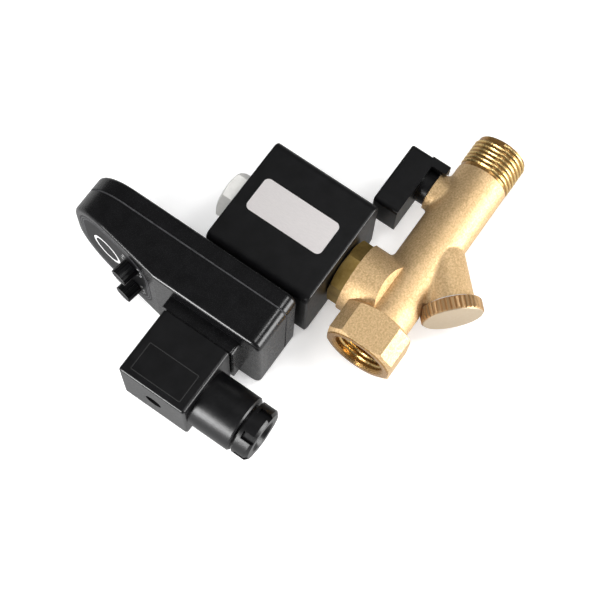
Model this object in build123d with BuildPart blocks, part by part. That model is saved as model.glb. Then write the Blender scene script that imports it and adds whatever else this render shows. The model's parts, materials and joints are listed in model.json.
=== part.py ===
from build123d import *
import os
from math import cos, radians, sin

# Automatic drain valve: a brass body with a ball valve, a strainer branch and a
# solenoid valve, whose coil carries an electronic timer and a cable connector.
# Frame: X runs up the pipe to the inlet thread, Y runs out along the solenoid,
# Z is up with the coil's name plate on top. The origin is the centre of the
# inlet thread's end face. Millimetres.

# ---- driving dimensions ------------------------------------------------------
BODY_LENGTH = 95.9
PIPE_R = 10.3
THREAD_R = 9.9  # pitch radius of a G 1/2 thread, male and female alike
INLET_THREAD_LENGTH = 13.6
THREAD_RELIEF = 0.4
OUTLET_THREAD_LENGTH = 14.0
WRENCH_WIDTH = 26.0  # outlet's wrench section, across Y
WRENCH_HEIGHT = 25.4
WRENCH_LENGTH = 14.7
WRENCH_CORNER = 4.8
WRENCH_CHAMFER = 1.6
WRENCH_SHOULDER = 2.0
WRENCH_RIM = 0.4
MOUTH_CHAMFER = 1.0
DRILL_POINT = 2.0
PASSAGE_R = 4.5

STEM_X = -27.4
STEM_BOSS_R = 7.5
STEM_BOSS_TOP = 12.8
BALL_R = 6.5
BALL_BORE_R = 4.5
BALL_CHAMBER_R = 7.3
SEAT_START = 3.2
SEAT_WIDTH = 2.6
SEAT_ANGLE = 50.0
BALL_CLEARANCE = 0.03
BALL_SLOT_DEPTH = 1.7
BALL_SLOT_WIDTH = 2.0
RETAINER_LENGTH = 16.0
RETAINER_HEX = 8.0
STEM_R = 2.5
STEM_FLATS = 3.6
STEM_CLEARANCE = 0.05
GLAND_R = 4.6
SEAL_HEIGHT = 2.6
GLAND_HEIGHT = 1.8

HANDLE_LENGTH = 26.6
HANDLE_NEAR_END = 8.1  # from the stem's axis to the handle's end on the inlet side
HANDLE_WIDTH = 17.0
HANDLE_HUB_R = 6.4
HANDLE_HUB_BASE = 13.3
HANDLE_BASE = 17.2
HANDLE_TOP = 27.6
HANDLE_CORNER = 1.6
HANDLE_EDGE = 0.8
HANDLE_SCREW_RECESS = 2.4
CROSS_LENGTH = 3.4
CROSS_WIDTH = 0.8
TAB_THICKNESS = 3.6
TAB_END = 11.2
TAB_LOW = 1.5
TAB_CLEARANCE = 0.5

BRANCH_X = -44.2  # where the strainer branch leaves the pipe's axis
BRANCH_ANGLE = 45.0
BRANCH_R = 9.15
BRANCH_LENGTH = 22.9
STRAINER_CHAMBER_R = 7.4
SCREEN_R = 5.9
SCREEN_START = 6.0
SCREEN_END = 21.0
SCREEN_WALL = 0.4
SCREEN_ROWS = 3
SCREEN_PITCH = 3.2
SCREEN_HOLE_R = 1.0
SCREEN_SEAT = 1.6
SCREEN_FIRST_ROW = 3.4
CAP_R = 11.5
CAP_THICKNESS = 5.2
CAP_SPIGOT_LENGTH = 6.0
CAP_GROOVES = 40
CAP_GROOVE = 0.55
CAP_SEAL = 0.8
CAP_CLEARANCE = 0.5

COIL_X = -71.5  # the solenoid's axis
BOSS_R = 13.4
BOSS_FACET_TOP = 5.9  # where the boss's sloped facet starts, along Y
BOSS_FACET_FOOT = 3.4
BOSS_FACET_LOW = 9.0  # how low the facet reaches, along Z
BOSS_FILLET = 2.0
BRANCH_FILLET = 1.8
STEM_FILLET = 2.0
BOSS_TOP = 16.8
BONNET_THREAD_R = 10.4
BONNET_THREAD_BASE = 10.0
BONNET_ACROSS = 21.6
BONNET_HEIGHT = 5.5
BONNET_TURN = 36.0  # how the tightened hex happens to lie
O_RING_SECTION = 1.8
O_RING_FROM_TOP = 3.2
CHAMBER_R = 9.4
CHAMBER_FLOOR = 6.0
NOZZLE_TOP = 8.0
DRILLING_R = 2.4  # the slanted way from the strainer to the chamber
DRILLING_ALONG = 10.4
DRILLING_DROP = 4.2
DRILLING_RISE = 1.5
NOZZLE_GAP = 0.02
ORIFICE_R = 2.25
TUBE_R = 6.5
TUBE_WALL = 1.15
PLUNGER_CLEARANCE = 0.08
SEAL_DISC_R = 3.6
SEAL_DISC_DEPTH = 2.0
SEAL_PROUD = 0.4
PLUNGER_LENGTH = 25.0
PLUNGER_TRAVEL = 2.0
SPRING_POCKET = 8.0
SPRING_R = 2.3
SPRING_WIRE = 0.6
SPRING_TURNS = 5

COIL_GASKET = 0.4
COIL_WIDTH = 44.8  # along X
COIL_LENGTH = 43.8  # along Y
COIL_HEIGHT = 34.0
COIL_CORNER = 3.0
COIL_EDGE = 0.8
COIL_BLADE_LENGTH = 9.0
COIL_BORE_CLEARANCE = 0.1
PLATE_LENGTH = 32.0
PLATE_WIDTH = 14.0
PLATE_THICKNESS = 0.5
PLATE_RECESS = 0.25
PLATE_CORNER = 2.0
WASHER_R = 8.6
WASHER_THICKNESS = 1.0
NUT_ACROSS = 17.0
NUT_HEIGHT = 6.0
STUD_R = 4.0

PLUG_Y = 48.4  # the row that the coil's plug, the timer's plug base and the connector share
TIMER_GASKET = 2.0
TIMER_START_Y = 25.4
TIMER_LENGTH = 86.8
TIMER_WIDTH = 44.0
TIMER_DEPTH = 22.6
TIMER_REAR_DEPTH = 7.0
TIMER_WALL = 2.2
TIMER_FOOT_CORNER = 4.0
TIMER_HEAD_CORNER = 17.0
TIMER_EDGE = 1.5
PARTING_GAP = 0.8
PARTING_DEPTH = 0.8
BOARD_THICKNESS = 1.6
BOARD_FROM_PARTING = 3.0
BOARD_LENGTH = 68.0
BOARD_WIDTH = 37.0
POT_SIZE = 9.5
POT_DEPTH = 5.0
BEND_Y = 70.6
SLOPE = 9.9
PLATFORM_LENGTH = 30.5
PLATFORM_WIDTH = 28.0
PLATFORM_HEIGHT = 4.7

LABEL_START = 3.0  # measured up the slope from the bend
LABEL_LENGTH = 36.4
LABEL_WIDTH = 38.0
LABEL_THICKNESS = 0.4
LABEL_FOOT_CORNER = 12.0
LABEL_MARGIN = 3.0
KNOB_UP_SLOPE = 11.9
KNOB_SPACING = 18.0
KNOB_R = 3.4
KNOB_HEIGHT = 6.0
KNOB_SHAFT_R = 1.5
KNOB_GAP = 0.3
KNOB_RIBS = 16
KNOB_RIB = 0.7
POINTER_WIDTH = 0.9
POINTER_DEPTH = 1.2
SHAFT_DEPTH = 3.2
SHAFT_CLEARANCE = 0.05

CONNECTOR_GASKET = 0.6
CONNECTOR_WIDTH = 27.8
CONNECTOR_DEPTH = 26.1
CONNECTOR_WALL = 2.2
INSERT_DEPTH = 11.0
INSERT_CLEARANCE = 0.2
GLAND_FROM_BASE = 14.2
BARREL_R = 10.85
BARREL_LENGTH = 17.1
BARREL_BORE_R = 8.1
NUT_GAP = 1.1
GLAND_NUT_R = 10.3
GLAND_NUT_LENGTH = 6.3
GLAND_NUT_SPIGOT = 3.0
GLAND_NUT_SLOTS = 6
GLAND_SLOT_WIDTH = 3.0
GLAND_NUT_FUNNEL = 1.6
GLAND_SLOT_DEPTH = 1.3
CABLE_R = 4.0
GLAND_SEAL_LENGTH = 5.2
GLAND_WASHER = 0.8
BLADE_WIDTH = 6.3
BLADE_THICKNESS = 0.8
BLADE_SPACING = 18.0
BLADE_CLEARANCE = 0.3
TIMER_BLADE_REACH = 9.0
SCREW_R = 1.5
SCREW_BITE = 3.5
SCREW_HEAD_HEIGHT = 2.0
SCREW_RECESS = 5.0
SCREW_HEAD_R = 2.9
SCREW_HOLE_R = 3.3

# ---- places worked out from them ---------------------------------------------
COIL_BASE = BOSS_TOP + BONNET_HEIGHT + COIL_GASKET
COIL_TOP = COIL_BASE + COIL_LENGTH
COIL_FACE_X = COIL_X - COIL_WIDTH / 2 - 1.1
TIMER_BACK_X = COIL_FACE_X - TIMER_GASKET
PARTING_X = TIMER_BACK_X - TIMER_REAR_DEPTH
TIMER_FRONT_X = TIMER_BACK_X - TIMER_DEPTH
PLATFORM_X = TIMER_FRONT_X - PLATFORM_HEIGHT
CONNECTOR_X = PLATFORM_X - CONNECTOR_GASKET
CONNECTOR_FAR_X = CONNECTOR_X - CONNECTOR_DEPTH
GLAND_X = CONNECTOR_X - GLAND_FROM_BASE
BARREL_TOP = PLUG_Y - CONNECTOR_WIDTH / 2
BARREL_END = BARREL_TOP - BARREL_LENGTH
TUBE_INNER_R = TUBE_R - TUBE_WALL
PLUNGER_R = TUBE_INNER_R - PLUNGER_CLEARANCE
PLUNGER_BASE = NOZZLE_TOP + NOZZLE_GAP
BOARD_X = PARTING_X - BOARD_FROM_PARTING
PLUNGER_TOP = PLUNGER_BASE + PLUNGER_LENGTH
CORE_BASE = PLUNGER_TOP + PLUNGER_TRAVEL + 0.2
TUBE_TOP = COIL_TOP - 0.4
NUT_BASE = COIL_TOP + WASHER_THICKNESS
CAP_BASE = BRANCH_LENGTH + CAP_SEAL
SLOPE_RUN = TIMER_START_Y + TIMER_LENGTH - BEND_Y


def across_pipe(x):
    """Plane square to the pipe; its own x and y are the frame's Y and Z."""
    return Plane(origin=(x, 0, 0), x_dir=(0, 1, 0), z_dir=(1, 0, 0))


def across_solenoid(y, x=COIL_X):
    """Plane square to a Y axis; its own x is X and its own y is -Z."""
    return Plane(origin=(x, y, 0), x_dir=(1, 0, 0), z_dir=(0, 1, 0))


def turning_plane(x):
    """Plane for turned profiles about the Y axis at x, as (radius, y)."""
    return Plane(origin=(x, 0, 0), x_dir=(1, 0, 0), z_dir=(0, 0, 1))


def y_axis(x):
    return Axis((x, 0, 0), (0, 1, 0))


BRANCH_DIRECTION = Vector(-cos(radians(BRANCH_ANGLE)), -sin(radians(BRANCH_ANGLE)), 0)
BRANCH_AXIS = Axis((BRANCH_X, 0, 0), BRANCH_DIRECTION)
SLOPE_ALONG = Vector(sin(radians(SLOPE)), cos(radians(SLOPE)), 0)
SLOPE_OUT = Vector(-cos(radians(SLOPE)), sin(radians(SLOPE)), 0)
SLOPE_FOOT = Vector(TIMER_FRONT_X, BEND_Y, 0)


def across_branch(distance):
    """Plane square to the strainer branch, at a distance along it."""
    return Plane(
        origin=Vector(BRANCH_X, 0, 0) + BRANCH_DIRECTION * distance,
        x_dir=(0, 0, 1),
        z_dir=BRANCH_DIRECTION,
    )


def on_slope(height):
    """Plane over the sloped panel; its own x runs up the slope, its own y is -Z."""
    return Plane(origin=SLOPE_FOOT + SLOPE_OUT * height, x_dir=SLOPE_ALONG, z_dir=SLOPE_OUT)


def turned(points, plane, axis):
    """A solid of revolution from a closed profile."""
    with BuildPart() as piece:
        with BuildSketch(plane):
            with BuildLine():
                Polyline(*points, close=True)
            make_face()
        revolve(axis=axis)
    return piece.part


def rod(plane, radius, length):
    """A round bar that stands on a plane."""
    with BuildPart() as piece:
        with BuildSketch(plane):
            Circle(radius)
        extrude(amount=length)
    return piece.part


def ring(plane, outer, inner, length):
    """A plain tube that stands on a plane."""
    with BuildPart() as piece:
        with BuildSketch(plane):
            Circle(outer)
            Circle(inner, mode=Mode.SUBTRACT)
        extrude(amount=length)
    return piece.part


def block(x_range, y_range, z_range):
    """A box between two corners."""
    with BuildPart() as piece:
        with BuildSketch(Plane.XY.offset(z_range[0])):
            with Locations(((x_range[0] + x_range[1]) / 2, (y_range[0] + y_range[1]) / 2)):
                Rectangle(x_range[1] - x_range[0], y_range[1] - y_range[0])
        extrude(amount=z_range[1] - z_range[0])
    return piece.part


# ---- valve body --------------------------------------------------------------
with BuildPart() as wrench_section:
    with BuildSketch(across_pipe(-BODY_LENGTH)) as wrench_outline:
        Rectangle(WRENCH_WIDTH, WRENCH_HEIGHT)
        chamfer(wrench_outline.vertices(), WRENCH_CORNER)
    extrude(amount=WRENCH_LENGTH)
    rim_r = WRENCH_WIDTH / 2
    corner_r = rim_r + 3
    with BuildSketch(Plane.XY):
        with BuildLine():
            Polyline(
                (-BODY_LENGTH, 0),
                (-BODY_LENGTH, rim_r - WRENCH_RIM),
                (-BODY_LENGTH + WRENCH_CHAMFER, corner_r),
                (-BODY_LENGTH + WRENCH_LENGTH - WRENCH_SHOULDER, corner_r),
                (-BODY_LENGTH + WRENCH_LENGTH, rim_r - 0.6),
                (-BODY_LENGTH + WRENCH_LENGTH, 0),
                close=True,
            )
        make_face()
    revolve(axis=Axis.X, mode=Mode.INTERSECT)

def pipe_joined_to(branch, radius):
    """The pipe's middle stretch and a branch, with the forging's fillet between."""
    stretch_start = -BODY_LENGTH + WRENCH_LENGTH / 2
    stretch_end = -INLET_THREAD_LENGTH - THREAD_RELIEF
    with BuildPart() as joined:
        add(rod(across_pipe(stretch_start), PIPE_R, stretch_end - stretch_start))
        add(branch)
        seam = edges().filter_by(lambda e: e.geom_type not in (GeomType.CIRCLE, GeomType.LINE))
        fillet(seam, radius)
    return joined.part


def boss_facets():
    """What the forging leaves out above and below the foot of the solenoid boss."""
    with BuildPart() as facets:
        with BuildSketch(Plane(origin=(COIL_X - BOSS_R, 0, 0), x_dir=(0, 1, 0), z_dir=(1, 0, 0))):
            with BuildLine():
                Polyline(
                    (BOSS_FACET_TOP, BOSS_R + 0.2),
                    (BOSS_FACET_FOOT, BOSS_FACET_LOW),
                    (-BOSS_R, BOSS_FACET_LOW),
                    (-BOSS_R, BOSS_R + 0.2),
                    close=True,
                )
            make_face()
        extrude(amount=2 * BOSS_R)
        mirror(about=Plane.XY)
        add(rod(across_pipe(-BODY_LENGTH), PIPE_R, BODY_LENGTH), mode=Mode.SUBTRACT)
    return facets.part


with BuildPart() as valve_body:
    # pipe with the solenoid's boss, the stem's boss and the strainer branch
    add(pipe_joined_to(rod(across_solenoid(0), BOSS_R, BOSS_TOP), BOSS_FILLET))
    add(boss_facets(), mode=Mode.SUBTRACT)
    add(pipe_joined_to(rod(across_solenoid(0, STEM_X), STEM_BOSS_R, STEM_BOSS_TOP), STEM_FILLET))
    add(pipe_joined_to(rod(across_branch(0), BRANCH_R, BRANCH_LENGTH), min(BRANCH_FILLET, BRANCH_R / 5)))
    # inlet spigot at its pitch radius, and the wrench section at the outlet
    with BuildSketch(Plane.XY):
        with BuildLine():
            Polyline(
                (0, 0),
                (0, THREAD_R),
                (-INLET_THREAD_LENGTH, THREAD_R),
                (-INLET_THREAD_LENGTH - THREAD_RELIEF, PIPE_R),
                (-INLET_THREAD_LENGTH - THREAD_RELIEF, 0),
                close=True,
            )
        make_face()
    revolve(axis=Axis.X)
    add(wrench_section.part)
    # spot face that squares the branch's end and clears the cap's rim
    add(rod(across_branch(BRANCH_LENGTH), CAP_R + CAP_CLEARANCE, CAP_R), mode=Mode.SUBTRACT)
    # ball chamber, open at the inlet, and the passage on to the strainer
    chamber_end = STEM_X - SEAT_START - SEAT_WIDTH
    add(rod(across_pipe(chamber_end), BALL_CHAMBER_R, -chamber_end), mode=Mode.SUBTRACT)
    add(rod(across_pipe(BRANCH_X - 1), PASSAGE_R, chamber_end - BRANCH_X + 2), mode=Mode.SUBTRACT)
    # strainer chamber with a seat for the screen
    add(rod(across_branch(0), PASSAGE_R, SCREEN_START + 1), mode=Mode.SUBTRACT)
    add(rod(across_branch(SCREEN_START), SCREEN_R + 0.05, 3), mode=Mode.SUBTRACT)
    chamber_start = SCREEN_START + SCREEN_SEAT
    add(
        rod(across_branch(chamber_start), STRAINER_CHAMBER_R, BRANCH_LENGTH - chamber_start),
        mode=Mode.SUBTRACT,
    )
    # slanted drilling from the strainer up to the solenoid chamber
    drilling_start = Vector(BRANCH_X - DRILLING_ALONG, -DRILLING_DROP, 0)
    drilling_end = Vector(COIL_X + CHAMBER_R - DRILLING_R, CHAMBER_FLOOR + DRILLING_RISE, 0)
    drilling = drilling_end - drilling_start
    drilling_plane = Plane(origin=drilling_start, x_dir=(0, 0, 1), z_dir=drilling)
    add(rod(drilling_plane, DRILLING_R, drilling.length), mode=Mode.SUBTRACT)
    # solenoid chamber with the nozzle standing on its floor
    add(
        rod(across_solenoid(CHAMBER_FLOOR), CHAMBER_R, BOSS_TOP - CHAMBER_FLOOR),
        mode=Mode.SUBTRACT,
    )
    add(
        rod(across_solenoid(BONNET_THREAD_BASE - 0.5), BONNET_THREAD_R, BOSS_TOP),
        mode=Mode.SUBTRACT,
    )
    add(
        turned(
            [
                (0, CHAMBER_FLOOR - 0.5),
                (4.2, CHAMBER_FLOOR - 0.5),
                (4.2, CHAMBER_FLOOR + 0.4),
                (ORIFICE_R + 0.9, NOZZLE_TOP),
                (0, NOZZLE_TOP),
            ],
            turning_plane(COIL_X),
            y_axis(COIL_X),
        )
    )
    add(rod(across_solenoid(0), ORIFICE_R, NOZZLE_TOP), mode=Mode.SUBTRACT)
    # outlet passage and female outlet thread
    outlet_depth = -BODY_LENGTH + OUTLET_THREAD_LENGTH
    add(
        rod(across_pipe(outlet_depth - 1), PASSAGE_R, COIL_X + ORIFICE_R - outlet_depth + 1),
        mode=Mode.SUBTRACT,
    )
    add(
        turned(
            [
                (-BODY_LENGTH - 1, 0),
                (-BODY_LENGTH - MOUTH_CHAMFER, THREAD_R + MOUTH_CHAMFER),
                (-BODY_LENGTH, THREAD_R + MOUTH_CHAMFER),
                (-BODY_LENGTH + MOUTH_CHAMFER, THREAD_R),
                (outlet_depth, THREAD_R),
                (outlet_depth + DRILL_POINT, PASSAGE_R),
                (outlet_depth + DRILL_POINT, 0),
            ],
            Plane.XY,
            Axis.X,
        ),
        mode=Mode.SUBTRACT,
    )
    # stem bore and packing recess
    add(rod(across_solenoid(0, STEM_X), STEM_R + STEM_CLEARANCE, STEM_BOSS_TOP), mode=Mode.SUBTRACT)
    packing_base = STEM_BOSS_TOP - SEAL_HEIGHT - GLAND_HEIGHT
    add(
        rod(across_solenoid(packing_base, STEM_X), GLAND_R, SEAL_HEIGHT + GLAND_HEIGHT),
        mode=Mode.SUBTRACT,
    )

# ---- ball valve --------------------------------------------------------------
with BuildPart() as valve_ball:
    with Locations((STEM_X, 0, 0)):
        Sphere(BALL_R)
        Cylinder(BALL_BORE_R, 2 * BALL_R + 1, rotation=(0, 90, 0), mode=Mode.SUBTRACT)
    with BuildSketch(across_solenoid(BALL_R - BALL_SLOT_DEPTH, STEM_X)):
        Rectangle(2 * BALL_R, BALL_SLOT_WIDTH)
    extrude(amount=BALL_R, mode=Mode.SUBTRACT)

# each seat's cone is tangent to the ball
seat_sine = sin(radians(SEAT_ANGLE))
seat_cosine = cos(radians(SEAT_ANGLE))
cone_r = (BALL_R + BALL_CLEARANCE - SEAT_START * seat_cosine) / seat_sine
cone_end = (BALL_R + BALL_CLEARANCE - BALL_BORE_R * seat_sine) / seat_cosine

with BuildPart() as inlet_ball_seat:
    add(
        turned(
            [
                (STEM_X + SEAT_START, cone_r),
                (STEM_X + SEAT_START, BALL_CHAMBER_R),
                (STEM_X + SEAT_START + SEAT_WIDTH, BALL_CHAMBER_R),
                (STEM_X + SEAT_START + SEAT_WIDTH, BALL_BORE_R),
                (STEM_X + cone_end, BALL_BORE_R),
            ],
            Plane.XY,
            Axis.X,
        )
    )

with BuildPart() as outlet_ball_seat:
    add(inlet_ball_seat.part.mirror(Plane.YZ.offset(STEM_X)))

with BuildPart() as ball_retainer:
    retainer_start = STEM_X + SEAT_START + SEAT_WIDTH
    add(rod(across_pipe(retainer_start), BALL_CHAMBER_R, RETAINER_LENGTH))
    with BuildSketch(across_pipe(retainer_start)):
        RegularPolygon(RETAINER_HEX / 2, 6, major_radius=False)
    extrude(amount=RETAINER_LENGTH, mode=Mode.SUBTRACT)

with BuildPart() as valve_stem:
    stem_foot = BALL_R - BALL_SLOT_DEPTH + 0.1
    stem_top = HANDLE_TOP - HANDLE_SCREW_RECESS
    add(rod(across_solenoid(BALL_R, STEM_X), STEM_R, stem_top - BALL_R))
    with BuildSketch(across_solenoid(stem_foot, STEM_X)):
        Rectangle(2 * STEM_R * 0.9, BALL_SLOT_WIDTH - 0.1)
    extrude(amount=BALL_R - stem_foot)
    # two flats that the handle's hub drives
    with BuildSketch(across_solenoid(HANDLE_HUB_BASE, STEM_X)):
        Rectangle(4 * STEM_R, 4 * STEM_R)
        Rectangle(4 * STEM_R, STEM_FLATS, mode=Mode.SUBTRACT)
    extrude(amount=stem_top - HANDLE_HUB_BASE, mode=Mode.SUBTRACT)

with BuildPart() as stem_seal:
    add(ring(across_solenoid(packing_base, STEM_X), GLAND_R, STEM_R + STEM_CLEARANCE, SEAL_HEIGHT))

with BuildPart() as stem_gland:
    gland_base = packing_base + SEAL_HEIGHT
    add(ring(across_solenoid(gland_base, STEM_X), GLAND_R, STEM_R + STEM_CLEARANCE, GLAND_HEIGHT))
    with BuildSketch(across_solenoid(STEM_BOSS_TOP - 0.8, STEM_X)):
        Rectangle(2 * GLAND_R, 1.2)
    extrude(amount=0.8, mode=Mode.SUBTRACT)

with BuildPart() as valve_handle:
    lever_middle = STEM_X + HANDLE_NEAR_END - HANDLE_LENGTH / 2
    with BuildSketch(across_solenoid(HANDLE_BASE, lever_middle)):
        RectangleRounded(HANDLE_LENGTH, HANDLE_WIDTH, HANDLE_CORNER)
    extrude(amount=HANDLE_TOP - HANDLE_BASE)
    fillet(faces().sort_by(Axis.Y)[-1].edges(), HANDLE_EDGE)
    add(rod(across_solenoid(HANDLE_HUB_BASE, STEM_X), HANDLE_HUB_R, HANDLE_BASE - HANDLE_HUB_BASE))
    # stop tab that reaches down beside the stem boss
    tab_end = STEM_X + HANDLE_NEAR_END
    add(
        block(
            (tab_end - TAB_THICKNESS, tab_end),
            (TAB_END, HANDLE_BASE + HANDLE_CORNER),
            (TAB_LOW, HANDLE_WIDTH / 2),
        )
    )
    boss_clear = STEM_BOSS_R + TAB_CLEARANCE
    add(rod(across_solenoid(0, STEM_X), boss_clear, HANDLE_HUB_BASE), mode=Mode.SUBTRACT)
    # bore for the stem, with two flats, and the screw's recess
    with BuildSketch(across_solenoid(HANDLE_HUB_BASE, STEM_X)) as stem_hole:
        Circle(STEM_R)
        Rectangle(4 * STEM_R, STEM_FLATS, mode=Mode.INTERSECT)
    extrude(amount=stem_top - HANDLE_HUB_BASE, mode=Mode.SUBTRACT)
    add(rod(across_solenoid(stem_top, STEM_X), SCREW_HEAD_R + 0.3, 5), mode=Mode.SUBTRACT)

with BuildPart() as handle_screw:
    add(rod(across_solenoid(stem_top, STEM_X), SCREW_HEAD_R, 2.0))
    fillet(faces().sort_by(Axis.Y)[-1].edges(), 0.8)
    with BuildSketch(across_solenoid(stem_top + 0.8, STEM_X)):
        Rectangle(CROSS_LENGTH, CROSS_WIDTH)
        Rectangle(CROSS_WIDTH, CROSS_LENGTH)
    extrude(amount=2.0, mode=Mode.SUBTRACT)

# ---- strainer ----------------------------------------------------------------
with BuildPart() as strainer_screen:
    screen_length = SCREEN_END - SCREEN_START
    add(ring(across_branch(SCREEN_START), SCREEN_R, SCREEN_R - SCREEN_WALL, screen_length))
    for row in range(SCREEN_ROWS):
        row_at = SCREEN_START + SCREEN_FIRST_ROW + row * SCREEN_PITCH
        with BuildSketch(
            Plane(
                origin=across_branch(row_at).origin,
                x_dir=BRANCH_DIRECTION,
                z_dir=(0, 0, 1),
            )
        ):
            Circle(SCREEN_HOLE_R)
        extrude(amount=2 * SCREEN_R, both=True, mode=Mode.SUBTRACT)
        with BuildSketch(
            Plane(
                origin=across_branch(row_at).origin,
                x_dir=BRANCH_DIRECTION,
                z_dir=Vector(0, 0, 1).cross(BRANCH_DIRECTION),
            )
        ):
            Circle(SCREEN_HOLE_R)
        extrude(amount=2 * SCREEN_R, both=True, mode=Mode.SUBTRACT)

with BuildPart() as strainer_cap_seal:
    add(
        ring(across_branch(BRANCH_LENGTH), BRANCH_R, STRAINER_CHAMBER_R + 0.1, CAP_SEAL)
    )

with BuildPart() as strainer_cap:
    add(rod(across_branch(CAP_BASE), CAP_R, CAP_THICKNESS))
    cap_rims = edges().filter_by(GeomType.CIRCLE).sort_by(BRANCH_AXIS)
    chamfer(cap_rims[-1], 0.7)
    chamfer(cap_rims[0], 0.5)
    # knurl: straight V grooves round the rim
    with BuildSketch(across_branch(CAP_BASE)):
        with PolarLocations(CAP_R, CAP_GROOVES):
            RegularPolygon(CAP_GROOVE, 4)
    extrude(amount=CAP_THICKNESS, mode=Mode.SUBTRACT)
    spigot_start = CAP_BASE - CAP_SPIGOT_LENGTH
    add(ring(across_branch(spigot_start), STRAINER_CHAMBER_R, SCREEN_R + 0.1, CAP_SPIGOT_LENGTH))

# ---- solenoid ----------------------------------------------------------------
with BuildPart() as bonnet:
    with BuildSketch(across_solenoid(BOSS_TOP)):
        RegularPolygon(BONNET_ACROSS / 2, 6, major_radius=False, rotation=BONNET_TURN)
    extrude(amount=BONNET_HEIGHT)
    bonnet_corner = BONNET_ACROSS / 2 / cos(radians(30))
    bonnet_top = BOSS_TOP + BONNET_HEIGHT
    add(
        turned(
            [
                (0, BOSS_TOP),
                (bonnet_corner, BOSS_TOP),
                (bonnet_corner, bonnet_top - 0.7),
                (BONNET_ACROSS / 2 - 0.2, bonnet_top),
                (0, bonnet_top),
            ],
            turning_plane(COIL_X),
            y_axis(COIL_X),
        ),
        mode=Mode.INTERSECT,
    )
    spigot_height = BOSS_TOP - BONNET_THREAD_BASE
    add(rod(across_solenoid(BONNET_THREAD_BASE), BONNET_THREAD_R, spigot_height))
    add(rod(across_solenoid(0), TUBE_R, 2 * BOSS_TOP), mode=Mode.SUBTRACT)
    o_ring_y = BOSS_TOP - O_RING_FROM_TOP
    groove_r = BONNET_THREAD_R - O_RING_SECTION
    groove_plane = across_solenoid(o_ring_y)
    add(ring(groove_plane, BONNET_THREAD_R + 1, groove_r, O_RING_SECTION + 0.2), mode=Mode.SUBTRACT)

with BuildPart() as bonnet_o_ring:
    add(ring(groove_plane.offset(0.1), BONNET_THREAD_R, groove_r + 0.05, O_RING_SECTION))
    chamfer(edges().filter_by(GeomType.CIRCLE), O_RING_SECTION / 4)

with BuildPart() as armature_tube:
    tube_length = TUBE_TOP - BONNET_THREAD_BASE
    add(ring(across_solenoid(BONNET_THREAD_BASE), TUBE_R, TUBE_INNER_R, tube_length))

with BuildPart() as fixed_core:
    stud_end = NUT_BASE + NUT_HEIGHT - 1.0
    add(
        turned(
            [
                (0, CORE_BASE),
                (TUBE_INNER_R, CORE_BASE),
                (TUBE_INNER_R, TUBE_TOP),
                (STUD_R, TUBE_TOP),
                (STUD_R, stud_end - 0.6),
                (STUD_R - 0.6, stud_end),
                (0, stud_end),
            ],
            turning_plane(COIL_X),
            y_axis(COIL_X),
        )
    )

with BuildPart() as plunger:
    add(
        rod(
            across_solenoid(PLUNGER_BASE + SEAL_PROUD),
            PLUNGER_R,
            PLUNGER_LENGTH - SEAL_PROUD,
        )
    )
    add(rod(across_solenoid(0), SEAL_DISC_R, PLUNGER_BASE + SEAL_DISC_DEPTH), mode=Mode.SUBTRACT)
    spring_seat = PLUNGER_TOP - SPRING_POCKET
    add(rod(across_solenoid(spring_seat), SPRING_R + SPRING_WIRE, SPRING_POCKET), mode=Mode.SUBTRACT)
    # two flutes that let the fluid past
    with BuildSketch(across_solenoid(PLUNGER_BASE)):
        with PolarLocations(PLUNGER_R, 2):
            Rectangle(1.2, 1.4)
    extrude(amount=PLUNGER_LENGTH, mode=Mode.SUBTRACT)

with BuildPart() as plunger_seal:
    add(rod(across_solenoid(PLUNGER_BASE), SEAL_DISC_R, SEAL_DISC_DEPTH))

with BuildPart() as plunger_spring:
    coil_height = CORE_BASE - spring_seat - 2 * SPRING_WIRE
    with BuildLine() as spring_path:
        Helix(
            pitch=coil_height / SPRING_TURNS,
            height=coil_height,
            radius=SPRING_R,
            center=(COIL_X, spring_seat + SPRING_WIRE, 0),
            direction=(0, 1, 0),
        )
    with BuildSketch(Plane(origin=spring_path.line @ 0, z_dir=spring_path.line % 0)):
        Rectangle(SPRING_WIRE, SPRING_WIRE)
    sweep(path=spring_path.line)

with BuildPart() as coil_gasket:
    add(ring(across_solenoid(bonnet_top), BONNET_ACROSS / 2 - 1.0, TUBE_R, COIL_GASKET))

with BuildPart() as coil_housing:
    with BuildSketch(across_solenoid(COIL_BASE, COIL_FACE_X + COIL_WIDTH / 2)):
        RectangleRounded(COIL_WIDTH, COIL_HEIGHT, COIL_CORNER)
    extrude(amount=COIL_LENGTH)
    coil_ends = faces().sort_by(Axis.Y)
    fillet(coil_ends[0].edges() + coil_ends[-1].edges(), COIL_EDGE)
    tube_hole = TUBE_R + COIL_BORE_CLEARANCE
    add(rod(across_solenoid(COIL_BASE), tube_hole, COIL_LENGTH), mode=Mode.SUBTRACT)
    plate_y = COIL_BASE + COIL_LENGTH / 2 + 0.7
    plate_base = COIL_HEIGHT / 2 - PLATE_RECESS
    with BuildSketch(Plane.XY.offset(plate_base)):
        with Locations((COIL_X, plate_y)):
            RectangleRounded(PLATE_WIDTH, PLATE_LENGTH, PLATE_CORNER)
    extrude(amount=COIL_HEIGHT, mode=Mode.SUBTRACT)

with BuildPart() as coil_nameplate:
    with BuildSketch(Plane.XY.offset(plate_base)):
        with Locations((COIL_X, plate_y)):
            RectangleRounded(PLATE_WIDTH, PLATE_LENGTH, PLATE_CORNER)
    extrude(amount=PLATE_THICKNESS)

with BuildPart() as coil_washer:
    add(ring(across_solenoid(COIL_TOP), WASHER_R, STUD_R + 0.3, WASHER_THICKNESS))

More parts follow.
